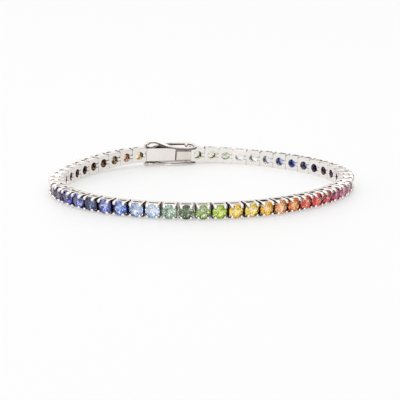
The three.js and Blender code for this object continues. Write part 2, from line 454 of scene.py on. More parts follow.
@dataclass
class Shell:
    """Closed surfaces drawn in millimetres: their points, faces by the places of points, and
    the faces that get painted shade."""

    points: list[Vector] = field(default_factory=list)
    faces: list[tuple[int, ...]] = field(default_factory=list)
    shaded_faces: set[int] = field(default_factory=set)

    def add(self, other: "Shell", matrix: Matrix | None = None) -> "Shell":
        """Adds a copy of another shell.

        Args:
            other: The shell to copy.
            matrix: Where the copy goes, or None to leave it in place.

        Returns:
            This shell.
        """
        start = len(self.points)
        self.shaded_faces |= {len(self.faces) + i for i in other.shaded_faces}
        self.points += [matrix @ p if matrix else p.copy() for p in other.points]
        self.faces += [tuple(start + i for i in face) for face in other.faces]
        return self

    def moved(self, matrix: Matrix) -> "Shell":
        """Copies the shell elsewhere, with its faces still pointing out.

        Args:
            matrix: Where the copy goes.

        Returns:
            The copy.
        """
        copy = Shell().add(self, matrix)
        if matrix.determinant() < 0:
            copy.faces = [tuple(reversed(face)) for face in copy.faces]
        return copy

    def outlook(self, face: tuple[int, ...]) -> tuple[Vector, Vector]:
        """Finds where a face lies and which way it looks.

        Args:
            face: The places of its points.

        Returns:
            Its middle, and its direction with a length of 1.
        """
        corners = [self.points[i] for i in face]
        middle = sum(corners, Vector()) / len(corners)
        spin = sum((a.cross(b) for a, b in zip(corners, corners[1:] + corners[:1])), Vector())
        return middle, spin.normalized()

    def build(self, name: str, finish: Finish, smooth_below: float) -> bpy.types.Object:
        """Makes the Blender object.

        Args:
            name: The object's name.
            finish: Its material, and a second one, of painted shade, if it has shaded faces.
            smooth_below: Edges that turn less than this angle, in degrees, are shaded round.

        Returns:
            The new object, in the scene, in metres.
        """
        mesh = bpy.data.meshes.new(name)
        mesh.from_pydata([p * MM for p in self.points], [], self.faces)
        for material in finish:
            mesh.materials.append(material)
        for index in self.shaded_faces:
            mesh.polygons[index].material_index = 1
        mesh.validate()
        mesh.update()
        if smooth_below > 0:
            mesh.shade_smooth()
            mesh.set_sharp_from_angle(angle=math.radians(smooth_below))
        made = bpy.data.objects.new(name, mesh)
        bpy.context.scene.collection.objects.link(made)
        if smooth_below > 0:
            made.modifiers.new("flat_faces_stay_flat", "WEIGHTED_NORMAL").keep_sharp = True
        return made


def loft(rings: Sequence[Ring], closed: bool = False) -> Shell:
    """Joins rings of equally many points into one closed surface.

    Args:
        rings: The rings, each counter-clockwise seen from the last one.
        closed: True joins the last ring to the first, and False caps both ends.

    Returns:
        The surface.
    """
    count = len(rings[0])
    points = [p for ring in rings for p in ring]
    faces: list[tuple[int, ...]] = []
    spans = len(rings) if closed else len(rings) - 1
    for level in range(spans):
        low = level * count
        high = (level + 1) % len(rings) * count
        for i in range(count):
            j = (i + 1) % count
            faces.append((low + i, low + j, high + j, high + i))
    if not closed:
        faces.append(tuple(reversed(range(count))))
        faces.append(tuple(range(len(points) - count, len(points))))
    return Shell(points, faces)


def circle(level: float, radius: float, count: int, middle: tuple[float, float] = (0, 0)) -> Ring:
    """A round ring across the X axis.

    Args:
        level: Its place along X.
        radius: Its radius.
        count: How many points it has.
        middle: Its middle in Y and Z.

    Returns:
        The ring.
    """
    turns = [2 * math.pi * (i + 0.5) / count for i in range(count)]
    return [
        Vector((level, middle[0] + radius * math.cos(t), middle[1] + radius * math.sin(t)))
        for t in turns
    ]


def rounded_square(level: float, half_y: float, half_z: float, count: int, power: float) -> Ring:
    """A ring across the X axis, like a square with round corners.

    Args:
        level: Its place along X.
        half_y: Half of its width.
        half_z: Half of its height.
        count: How many points it has.
        power: How square it is: 2 gives an ellipse, and a high power sharp corners.

    Returns:
        The ring.
    """
    ring = []
    for i in range(count):
        turn = 2 * math.pi * (i + 0.5) / count
        across, up = math.cos(turn), math.sin(turn)
        y = math.copysign(abs(across) ** (2 / power), across)
        z = math.copysign(abs(up) ** (2 / power), up)
        ring.append(Vector((level, half_y * y, half_z * z)))
    return ring


def rounded_outline(
    half_across: float, half_up: float, corner: float, first: int
) -> list[tuple[float, float]]:
    """A rectangle with round corners, counter-clockwise about its middle.

    Args:
        half_across: Half of its width.
        half_up: Half of its height.
        corner: The radius of its corners.
        first: The corner that it starts from, as quarter turns from the upper right one.

    Returns:
        Its points, each as the distance across and up.
    """
    outline = []
    for quarter in range(first, first + 4):
        side_across, side_up = CORNER_SIDES[quarter % 4]
        for step in range(CORNER_POINTS):
            share = step / (CORNER_POINTS - 1)
            turn = math.radians(90 * (quarter % 4) + 90 * share)
            across = side_across * (half_across - corner) + corner * math.cos(turn)
            up = side_up * (half_up - corner) + corner * math.sin(turn)
            outline.append((across, up))
    return outline


def bevelled_plate(
    outline: Sequence[tuple[float, float]], low: float, high: float, bevel: float
) -> Shell:
    """A flat plate in Y and Z with an outline of any shape, and softened edges.

    Args:
        outline: Its corners as (y, z), counter-clockwise seen from +X.
        low: The level of its lower face along X.
        high: The level of its upper face.
        bevel: How far its edges are rounded.

    Returns:
        The plate.
    """
    sketch = bmesh.new()
    lower = [sketch.verts.new((low, y, z)) for y, z in outline]
    upper = [sketch.verts.new((high, y, z)) for y, z in outline]
    sketch.faces.new(list(reversed(lower)))
    sketch.faces.new(upper)
    for i, vertex in enumerate(lower):
        j = (i + 1) % len(lower)
        sketch.faces.new((vertex, lower[j], upper[j], upper[i]))
    return finished(sketch, bevel)


def bevelled_block(corner: Point, opposite: Point, bevel: float) -> Shell:
    """A block between two opposite corners with softened edges.

    Args:
        corner: Its lowest corner along X, Y and Z.
        opposite: Its highest corner.
        bevel: How far its edges are rounded.

    Returns:
        The block.
    """
    low_y, low_z, high_y, high_z = *corner[1:], *opposite[1:]
    outline = [(low_y, low_z), (high_y, low_z), (high_y, high_z), (low_y, high_z)]
    return bevelled_plate(outline, corner[0], opposite[0], bevel)


def finished(sketch: bmesh.types.BMesh, bevel: float) -> Shell:
    """Rounds a sketch's sharp edges and turns it into a shell.

    Args:
        sketch: The sketch, which is used up.
        bevel: How far its edges are rounded.

    Returns:
        The shell.
    """
    sketch.normal_update()
    sharp = [e for e in sketch.edges if e.calc_face_angle(0) > math.radians(SHARP_ABOVE_DEG)]
    bmesh.ops.bevel(
        sketch,
        geom=sharp,
        offset=bevel,
        offset_type="OFFSET",
        segments=2,
        profile=0.5,
        affect="EDGES",
        clamp_overlap=True,
    )
    sketch.verts.index_update()
    shell = Shell(
        [v.co.copy() for v in sketch.verts],
        [tuple(v.index for v in face.verts) for face in sketch.faces],
    )
    sketch.free()
    return shell


def wire(path: Callable[[float], Vector], radius: float, steps: int, sides: int) -> Shell:
    """A closed loop of round wire.

    Args:
        path: The wire's middle, for a turn from 0 to a full circle.
        radius: The wire's radius.
        steps: How many rings there are round the loop.
        sides: How many sides each ring has.

    Returns:
        The wire.
    """
    nudge = 0.01
    rings = []
    for i in range(steps):
        turn = 2 * math.pi * i / steps
        along = (path(turn + nudge) - path(turn - nudge)).normalized()
        aside = Vector((0, 0, 1)).cross(along).normalized()
        over = along.cross(aside)
        angles = [2 * math.pi * j / sides for j in range(sides)]
        rings.append(
            [path(turn) + (aside * math.cos(a) + over * math.sin(a)) * radius for a in angles]
        )
    return loft(rings, closed=True)


def turned(profile: Sequence[tuple[float, float]], count: int, place: Vector) -> Shell:
    """A shape turned about an upright axis.

    Args:
        profile: Its (radius, height) from the bottom up, both ends with a small radius.
        count: How many sides it has.
        place: Where its axis stands.

    Returns:
        The shape.
    """
    rings = []
    for radius, height in profile:
        turns = [2 * math.pi * i / count for i in range(count)]
        rings.append(
            [place + Vector((radius * math.cos(t), radius * math.sin(t), height)) for t in turns]
        )
    return loft(rings)


# The line


@dataclass
class PinLine:
    """The oval that the hinge pins follow, and the frames of the links and the clasp along it.

    A link's frame has X away from the wrist and 0 at the inner face, Y along the line,
    counter-clockwise from above, and Z up.
    """

    links: int = 50
    pitch: float = 3.34
    # The line that the clasp takes up, from the box's pin to the tongue's pin
    clasp_length: float = 11.05
    # Where the box's pin lies along the oval, from its point at +X
    box_hinge_at: float = 53.59
    # How far the pins lie from the links' inner face
    pin_at: float = 0.55
    link_height: float = 3.3
    # How high the line stands at each end of the clasp, and over how many links it comes down
    box_end: tuple[float, float] = (1.25, 7)
    tongue_end: tuple[float, float] = (0.58, 4)
    # How far the tongue's pin lies below the clasp's middle
    tongue_drop: float = 0.25
    # The upper latch's hinge in the clasp's frame
    latch_hinge: Point = (1.6, -0.75, 1.85)
    # How the oval departs from a circle, as shares of its radius: a row for one wave a turn, two
    # waves and so on, each with its cosine part and its sine part
    waves: tuple[tuple[float, float], ...] = (
        (0.0327, -0.283),
        (0.0562, 0.0785),
        (0.0191, -0.0243),
        (0.0033, -0.0028),
        (0.013, 0.0014),
    )
    samples: int = 1440

    def __post_init__(self) -> None:
        """Places the pins, and lines them up with the latch hinge of the frame."""
        self._points, self._lengths = self._trace()
        self.pins = [self._pin(i) for i in range(self.links + 1)]
        hinge = next(j for j in frame["joints"] if j["name"] == "upper_latch_hinge")
        shift = Vector(hinge["pos_m"]) / MM - self.clasp_frame() @ Vector(self.latch_hinge)
        self.pins = [pin + shift for pin in self.pins]

    def _trace(self) -> tuple[list[Vector], list[float]]:
        """Draws the oval, as long as the links and the clasp together.

        Returns:
            Points round the oval, and the length of line up to each.
        """
        points = []
        for i in range(self.samples + 1):
            turn = 2 * math.pi * i / self.samples
            radius = 1.0
            for order, (cosine, sine) in enumerate(self.waves, 1):
                radius += cosine * math.cos(order * turn) + sine * math.sin(order * turn)
            points.append(Vector((radius * math.cos(turn), radius * math.sin(turn), 0)))
        lengths = [0.0]
        for before, after in zip(points, points[1:]):
            lengths.append(lengths[-1] + (after - before).length)
        size = (self.links * self.pitch + self.clasp_length) / lengths[-1]
        return [p * size for p in points], [x * size for x in lengths]

    def _pin(self, index: int) -> Vector:
        """Places a pin on the oval.

        Args:
            index: The pin's number, from 0 at the box.

        Returns:
            Its place, at the middle of the links' height.
        """
        along = (self.box_hinge_at + index * self.pitch) % self._lengths[-1]
        after = max(1, next(i for i, x in enumerate(self._lengths) if x > along))
        before = after - 1
        share = (along - self._lengths[before]) / (self._lengths[after] - self._lengths[before])
        place = self._points[before].lerp(self._points[after], share)
        lift = self._lift(self.box_end, index) + self._lift(self.tongue_end, self.links - index)
        return Vector((place.x, place.y, self.link_height / 2 + lift))

    @staticmethod
    def _lift(end: tuple[float, float], links_away: int) -> float:
        """Returns how high the line stands a number of links from an end of the clasp."""
        share = min(1.0, links_away / end[1])
        return end[0] * (1 - share * share * (3 - 2 * share))

    def _frame(self, place: Vector, start: Vector, finish: Vector) -> Matrix:
        """Works out the frame of a piece.

        Args:
            place: The point of the pins' line that its origin lies beside.
            start: Where its stretch of the line starts.
            finish: Where that stretch ends.

        Returns:
            The frame, with its origin at the inner face.
        """
        along = (finish - start).normalized()
        outward = Vector((along.y, -along.x, 0)).normalized()
        up = outward.cross(along)
        turn = Matrix((outward, along, up)).transposed().to_4x4()
        return Matrix.Translation(place - outward * self.pin_at) @ turn

    def link_frame(self, link: int) -> Matrix:
        """Returns a link's frame; link 0 is next to the box."""
        start, finish = self.pins[link], self.pins[link + 1]
        return self._frame(start.lerp(finish, 0.5), start, finish)

    def hinge_frame(self, pin: int) -> Matrix:
        """Returns the frame halfway between the links on both sides of a pin."""
        return self._frame(self.pins[pin], self.pins[pin - 1], self.pins[pin + 1])

    def clasp_frame(self) -> Matrix:
        """Returns the clasp's frame, with its origin at the box's hinge and its parts at -Y."""
        tail = self.pins[-1] + Vector((0, 0, self.tongue_drop))
        return self._frame(self.pins[0], tail, self.pins[0])


@dataclass
class LinkSetting:
    """One link's metal: base plate, rail, corner posts that end in prongs, and a knuckle."""

    half_length: float = 1.63
    half_height: float = 1.65
    base_thickness: float = 0.88
    hole_radius: float = 0.93
    slot_half: float = 0.47
    knuckle_half: float = 0.43
    rail_half_length: float = 1.48
    rail_half_height: float = 1.42
    rail_bottom: float = 1.12
    rail_top: float = 2.05
    seat_radius: float = 1.2
    seat_foot_radius: float = 1.05
    corner_power: float = 9.0
    corner: float = 0.28
    hole_steps: int = 20
    ring_points: int = 32
    post_sides: int = 12
    edge: float = 0.055
    # The knuckle's span outward, and along the line from the seam
    knuckle_levels: tuple[float, float] = (0.03, 0.55)
    knuckle_ends: tuple[float, float] = (-0.4, 0.7)
    # Where faces get painted shade: below this level, and this near the seat's edge or further out
    shade_below: float = 2.3
    gap_margin: float = 0.1
    faces_in: float = -0.5
    faces_gap: float = 0.6
    # Each prong's stations from the base up: level, distance along and across from the middle
    # of the link, and radius
    prong: tuple[tuple[float, float, float, float], ...] = (
        (0.30, 1.22, 1.335, 0.29),
        (1.90, 1.22, 1.335, 0.29),
        (2.35, 1.19, 1.31, 0.30),
        (2.68, 1.12, 1.24, 0.34),
        (2.94, 1.05, 1.17, 0.385),
        (3.12, 1.02, 1.13, 0.35),
        (3.25, 1.00, 1.11, 0.25),
        (3.32, 0.99, 1.10, 0.1),
    )

    def shell(self, ends: Sequence[int]) -> Shell:
        """Builds one link about the middle of its length.

        Args:
            ends: The ends that another link covers, as the sign of their place along the line.

        Returns:
            The link's metal.
        """
        link = Shell().add(self._base()).add(self._rail())
        for side_y in (-1, 1):
            for side_z in (-1, 1):
                link.add(self._post(side_y, side_z))
        # Painted shade: faces under the rail and in the gaps to neighbours take the near-black finish
        link.shaded_faces = {
            i for i, face in enumerate(link.faces) if self._in_painted_shade(link, face, ends)
        }
        return link

    def _in_painted_shade(self, link: Shell, face: tuple[int, ...], ends: Sequence[int]) -> bool:
        """Tells whether a face looks into the gap to a neighbour or under the rail, to paint it as
        shade.

        Args:
            link: The link's metal.
            face: The places of its points.
            ends: The ends that another link covers.

        Returns:
            True if it does, so that it takes the near-black painted shade.
        """
        middle, way = link.outlook(face)
        if middle.x > self.shade_below:
            return False
        under_rail = way.x < self.faces_in and middle.x > self.base_thickness
        near_end = abs(middle.y) > self.seat_radius - self.gap_margin
        in_gap = abs(way.y) > self.faces_gap and near_end
        return under_rail or (in_gap and math.copysign(1, middle.y) in ends)

    def _base(self) -> Shell:
        """The base plate, cut from the round hole out to the end that takes a knuckle.

        Returns:
            The plate.
        """
        # Outside, from the slot's lower corner round to its upper corner
        outline = rounded_outline(self.half_length, self.half_height, self.corner, 2)
        outline.insert(0, (-self.half_length, -self.slot_half))
        outline.append((-self.half_length, self.slot_half))
        # Inside, round the hole from the slot's upper side back to its lower side
        opening = math.asin(self.slot_half / self.hole_radius)
        for step in range(self.hole_steps + 1):
            turn = math.pi - opening - (2 * math.pi - 2 * opening) * step / self.hole_steps
            outline.append((self.hole_radius * math.cos(turn), self.hole_radius * math.sin(turn)))
        return bevelled_plate(outline, 0, self.base_thickness, self.edge)

    def _rail(self) -> Shell:
        """The rim that carries the stone: square outside, with a tapered round seat inside.

        Returns:
            The rail.
        """
        edge, count, power = self.edge, self.ring_points, self.corner_power
        low, high = self.rail_bottom, self.rail_top
        y, z = self.rail_half_length, self.rail_half_height
        return loft(
            [
                rounded_square(low, y - edge, z - edge, count, power),
                rounded_square(low + edge, y, z, count, power),
                rounded_square(high - edge, y, z, count, power),
                rounded_square(high, y - edge, z - edge, count, power),
                circle(high, self.seat_radius + edge, count),
                circle(high - edge, self.seat_radius, count),
                circle(low + edge, self.seat_foot_radius, count),
                circle(low, self.seat_foot_radius + edge, count),
            ],
            closed=True,
        )

    def _post(self, side_y: int, side_z: int) -> Shell:
        """A corner post that leans in over the stone and ends in a rounded prong.

        Args:
            side_y: Its side along the line, as a sign.
            side_z: Its side across the line, as a sign.

        Returns:
            The post.
        """
        rings = [
            circle(level, radius, self.post_sides, (side_y * along, side_z * across))
            for level, along, across, radius in self.prong
        ]
        return loft(rings)

    def knuckle(self) -> Shell:
        """The knuckle across a seam, in the hinge's frame: it fills the next link's slot.

        Returns:
            The knuckle.
        """
        half = self.knuckle_half
        (low, high), (start, end) = self.knuckle_levels, self.knuckle_ends
        return bevelled_block((low, start, -half), (high, end, half), self.edge)


@dataclass
class CutStone:
    """A round brilliant: table, stars, kites and girdle facets above, and a pointed pavilion."""

    girdle_radius: float = 1.55
    table_radius: float = 0.88
    star_radius: float = 1.2
    culet: float = 1.12
    girdle_low: float = 2.32
    girdle_high: float = 2.38
    star_level: float = 2.68
    table: float = 2.88
    lower_girdle_radius: float = 0.42
    lower_girdle_lift: float = 1.12
    heart: float = 2.2
    facets: int = 8
    star_rim_share: float = 0.5

    def shell(self, turn: float) -> Shell:
        """Builds the stone.

        Args:
            turn: How far it is turned about its own axis, in radians.

        Returns:
            The stone, with its table towards +X.
        """
        n = self.facets
        step = math.pi / n

        def ring(radius: float, level: float, offset: float, count: int) -> Ring:
            """A ring of corners round the stone's axis."""
            angles = [turn + offset + 2 * math.pi * i / count for i in range(count)]
            return [Vector((level, radius * math.cos(a), radius * math.sin(a))) for a in angles]

        table = ring(self.table_radius, self.table, 0, n)
        star = ring(self.star_radius, self.star_level, step, n)
        top = ring(self.girdle_radius, self.girdle_high, 0, 2 * n)
        bottom = ring(self.girdle_radius, self.girdle_low, 0, 2 * n)
        depth = self.girdle_low - self.culet
        share = self.lower_girdle_radius / self.girdle_radius * self.lower_girdle_lift
        lower_level = self.culet + depth * share
        lower = ring(self.lower_girdle_radius, lower_level, step, n)
        points = table + star + top + bottom + lower + [Vector((self.culet, 0, 0))]
        # Where each ring starts among the points: stars, girdle above and below, lower girdle
        s, g, b, w = n, 2 * n, 4 * n, 6 * n
        tip = 7 * n
        faces: list[tuple[int, ...]] = [tuple(range(n))]
        for i in range(n):
            j = (i + 1) % n
            before = (i - 1) % n
            even, odd, even_next = 2 * i, 2 * i + 1, (2 * i + 2) % (2 * n)
            faces.append((i, s + i, j))
            faces.append((i, s + before, g + even, s + i))
            faces.append((s + i, g + even, g + odd))
            faces.append((s + i, g + odd, g + even_next))
            faces.append((g + even, b + even, b + odd, g + odd))
            faces.append((g + odd, b + odd, b + even_next, g + even_next))
            faces.append((b + even, w + i, b + odd))
            faces.append((b + odd, w + i, b + even_next))
            faces.append((b + even, w + before, tip, w + i))
        shell = Shell(points, faces)
        shell.faces = [tuple(reversed(f)) if self._inward(shell, f) else f for f in faces]
        return shell

    def rim_shares(self) -> list[float]:
        """Returns how much each corner belongs to the rim: 1 at the girdle, 0 at the middle."""
        n = self.facets
        return [0.0] * n + [self.star_rim_share] * n + [1.0] * 4 * n + [0.0] * (n + 1)

    def _inward(self, shell: Shell, face: tuple[int, ...]) -> bool:
        """Tells whether a face looks towards the stone's middle.

        Args:
            shell: The stone.
            face: The places of its points.

        Returns:
            True if it does.
        """
        a, b, c = (shell.points[i] for i in face[:3])
        middle = sum((shell.points[i] for i in face), Vector()) / len(face)
        return (b - a).cross(c - a).dot(middle - Vector((self.heart, 0, 0))) < 0


@dataclass
class LinkLine:
    """The whole line: fifty settings in two joined meshes, and fifty stones."""

    pins: PinLine
    gold: bpy.types.Material
    shade_finish: bpy.types.Material
    first_half: int = 25
    stone_level: float = 2.3
    stone_tilt_deg: float = 3.0

    def build(self) -> list[bpy.types.Object]:
        """Builds the settings and the stones and puts them on the bracelet's body.

        Returns:
            The two meshes of settings, then the stones.
        """
        half, count = self.first_half, self.pins.links
        box_side = self._settings("settings_box_side", 0, half, "link_line_box_side")
        tongue_side = self._settings("settings_tongue_side", half, count, "link_line_tongue_side")
        return [box_side, tongue_side] + self._stones()

    def _settings(self, name: str, first: int, last: int, node: str) -> bpy.types.Object:
        """Joins the settings of a stretch of the line into one mesh.

        Args:
            name: The mesh's name.
            first: The first link, counted from the box.
            last: The link after the last one.
            node: The node of the CAD model that the mesh stands for.

        Returns:
            The mesh's object.
        """
        setting = LinkSetting()
        knuckle = setting.knuckle()
        links = {0: setting.shell((1,)), self.pins.links - 1: setting.shell((-1,))}
        between = setting.shell((-1, 1))
        line = Shell()
        for index in range(first, last):
            line.add(links.get(index, between), self.pins.link_frame(index))
            if 0 < index:
                line.add(knuckle, self.pins.hinge_frame(index))
        made = line.build(name, (self.gold, self.shade_finish), SMOOTH_BELOW_DEG)
        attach(made, "bracelet")
        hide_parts(node)
        return made

    def _stones(self) -> list[bpy.types.Object]:
        """Sets a stone in each link, in the order of their hues from the tongue's end.

        Returns:
            The stones.
        """
        draw = random.Random(SEED)
        most, level = self.stone_tilt_deg, self.stone_level
        finishes = {hue: Sapphire(hue).material() for hue in Hue}
        stones = []
        for number, hue in enumerate(STONE_ORDER, 1):
            link = self.pins.links - number
            tilt = Matrix.Rotation(math.radians(draw.uniform(-most, most)), 4, "Y")
            tilt = tilt @ Matrix.Rotation(math.radians(draw.uniform(-most, most)), 4, "Z")
            about = Matrix.Translation((level, 0, 0)) @ tilt @ Matrix.Translation((-level, 0, 0))
            shell = CutStone().shell(draw.uniform(0, 2 * math.pi / CutStone.facets))
            place = self.pins.link_frame(link) @ about
            stone = shell.moved(place).build(f"sapphire_{number:02d}", (finishes[hue],), 0)
            shares = stone.data.attributes.new(Sapphire.rim, "FLOAT", "POINT")
            shares.data.foreach_set("value", CutStone().rim_shares())
            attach(stone, "bracelet")
            stones.append(stone)
        return stones


# The clasp


class Side(Enum):
    """The clasp's two narrow sides, as the sign of their height in the clasp's frame."""

    UPPER = 1
    LOWER = -1

    @property
    def flip(self) -> Matrix:
        """The matrix that takes what is drawn for the upper side to this side."""
        return Matrix.Diagonal((1, 1, self.value, 1))


@dataclass
class ClaspBox:
    """The box: a polished shell open towards the tongue, with a lug for each latch."""

    pins: PinLine
    gold: bpy.types.Material
    shade_finish: bpy.types.Material
    start: float = 0.2
    end: float = 7.22
    half_height: float = 1.48
    thickness: float = 3.1
    wall: float = 0.42
    edge: float = 0.1
    edge_bulge: float = 0.3
    inner_corner: float = 0.04
    lug_edge: float = 0.07
    lug_radius: float = 0.69
    lug_hole: float = 0.46
    lug_half: float = 0.3
    lug_at: float = 0.75
    upper_lug_level: float = 1.85
    lower_lug_level: float = 2.18
    lug_middle: float = 1.6
    lug_points: int = 28

    def build(self) -> bpy.types.Object:
        """Builds the box and its lugs as one soldered piece.

        Returns:
            The box.
        """
        box = Shell().add(self._shell())
        box.add(self._lug(self.upper_lug_level))
        box.add(self._lug(self.lower_lug_level).moved(Side.LOWER.flip))
        made = box.moved(self.pins.clasp_frame()).build(
            "clasp_box_shell", (self.gold, self.shade_finish), SMOOTH_BELOW_DEG
        )
        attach(made, "bracelet")
        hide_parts("clasp_box")
        return made

    def _shell(self) -> Shell:
        """The box itself: a tube of rounded section, closed by its end wall.

        Returns:
            The box without its lugs, in the clasp's frame.
        """
        edge, middle = self.edge, self.thickness / 2
        shift = Vector((middle, 0, 0))

        def section(distance: float, inset: float) -> Ring:
            """A rounded rectangle across the box, set in from its outside.

            Args:
                distance: How far it lies from the clasp's hinge.
                inset: How far it is set in.

            Returns:
                The ring.
            """
            corner = max(self.inner_corner, edge - inset)
            outline = rounded_outline(middle - inset, self.half_height - inset, corner, 0)
            return [Vector((x, -distance, z)) + shift for x, z in outline]

        soft = edge * self.edge_bulge
        shell = loft(
            [
                section(self.start, edge),
                section(self.start + soft, soft),
                section(self.start + edge, 0),
                section(self.end - edge, 0),
                section(self.end - soft, soft),
                section(self.end, edge),
                section(self.end, self.wall - soft),
                section(self.end - soft, self.wall),
                section(self.start + self.wall, self.wall),
            ]
        )
        # Painted shade: faces inside the box's walls take the near-black finish
        inner = {i for i, point in enumerate(shell.points) if self._inside(point)}
        shell.shaded_faces = {i for i, face in enumerate(shell.faces) if inner.issuperset(face)}
        return shell

    def _inside(self, point: Vector) -> bool:
        """Tells whether a point lies on the inner side of the walls.

        Args:
            point: A point of the box.

        Returns:
            True if it does.
        """
        middle = self.thickness / 2
        near = self.wall - self.edge
        return abs(point.x - middle) < middle - near and abs(point.z) < self.half_height - near

    def _lug(self, level: float) -> Shell:
        """The drilled ear on the upper side that a latch turns in.

        Args:
            level: The height of its hole in the clasp's frame.

        Returns:
            The lug.
        """
        soft, outer, hole = self.lug_edge, self.lug_radius, self.lug_hole
        near, far = self.lug_middle - self.lug_half, self.lug_middle + self.lug_half
        outside = [(near, outer - soft), (near + soft, outer), (far - soft, outer), (far, outer - soft)]
        inside = [(far, hole + soft), (far - soft, hole), (near + soft, hole), (near, hole + soft)]
        centre = (-self.lug_at, level)
        rings = [circle(x, radius, self.lug_points, centre) for x, radius in outside + inside]
        return loft(rings, closed=True)


@dataclass
class ClaspTongue:
    """The tongue: its end block, the folded leaf spring in the box, and two ball studs."""

    pins: PinLine
    gold: bpy.types.Material
    shade_finish: bpy.types.Material
    start: float = 7.52
    end: float = 11.12
    top: float = 0.62
    bottom: float = -1.4
    thickness: float = 3.1
    inset: float = 0.12
    edge: float = 0.08
    stud_at: float = 10.4
    upper_stud_level: float = 1.8
    lower_stud_level: float = 2.0
    stud_post: float = 0.21
    stud_sink: float = 0.2
    stud_neck: float = 0.36
    stud_ball: float = 0.42
    stud_sides: int = 18
    # The ball's profile: the angle that it starts from, and its steps up to the top
    ball_from_deg: float = -52
    ball_step_deg: float = 17
    ball_points: int = 9
    # The leaf spring: its levels outward, its places along the line, and the fold's length
    leaf_inner: float = 0.95
    leaf_outer: float = 2.0
    leaf_root: float = 7.67
    leaf_tip: float = 6.52
    leaf_fold_at: float = 2.32
    leaf_fold: float = 0.5
    leaf_thickness: float = 0.35
    leaf_half_width: float = 0.7
    leaf_edge: float = 0.06
    # Faces that look this squarely at the box or at the upper latch get painted shade, for the shadow
    # under the latch and the gap to the box
    shade_from: float = 0.9

    def build(self) -> bpy.types.Object:
        """Builds the tongue as one soldered piece.

        Returns:
            The tongue.
        """
        block = bevelled_block(
            (self.inset, -self.end, self.bottom),
            (self.thickness - self.inset, -self.start, self.top),
            self.edge,
        )
        ways = [block.outlook(face)[1] for face in block.faces]
        block.shaded_faces = {i for i, way in enumerate(ways) if max(way.y, way.z) > self.shade_from}
        tongue = Shell().add(block)
        tongue.add(self._spring())
        tongue.add(self._stud(self.top, self.upper_stud_level))
        tongue.add(self._stud(-self.bottom, self.lower_stud_level).moved(Side.LOWER.flip))
        made = tongue.moved(self.pins.clasp_frame()).build(
            "clasp_tongue_block", (self.gold, self.shade_finish), SMOOTH_BELOW_DEG
        )
        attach(made, "bracelet")
        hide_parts("clasp_tongue")
        return made

    def _spring(self) -> Shell:
        """The leaf folded back on itself that springs open inside the box.

        Returns:
            The spring.
        """
        inner, outer, thick = self.leaf_inner, self.leaf_outer, self.leaf_thickness
        # Its corners outward and along the line, from the tongue's block to the fold and back
        outline = [
            (inner, -self.leaf_root),
            (inner + thick, -self.leaf_root),
            (inner + thick, -self.leaf_fold_at - self.leaf_fold),
            (outer, -self.leaf_tip),
            (outer + thick, -self.leaf_tip),
            (inner + 2 * thick, -self.leaf_fold_at),
            (inner, -self.leaf_fold_at),
        ]
        swap = Matrix(((0, 1, 0, 0), (0, 0, 1, 0), (1, 0, 0, 0), (0, 0, 0, 1)))
        half = self.leaf_half_width
        return bevelled_plate(outline, -half, half, self.leaf_edge).moved(swap)

    def _stud(self, base: float, level: float) -> Shell:
        """A ball on a post that stands on the upper side.

        Args:
            base: The height of the surface that it stands on.
            level: The height of the ball's middle.

        Returns:
            The stud.
        """
        profile = [(self.stud_post, base - self.stud_sink), (self.stud_post, level - self.stud_neck)]
        for step in range(self.ball_points):
            turn = math.radians(self.ball_from_deg + self.ball_step_deg * step)
            height = level + self.stud_ball * math.sin(turn)
            profile.append((self.stud_ball * math.cos(turn), height))
        return turned(profile, self.stud_sides, Vector((self.thickness / 2, -self.stud_at, 0)))


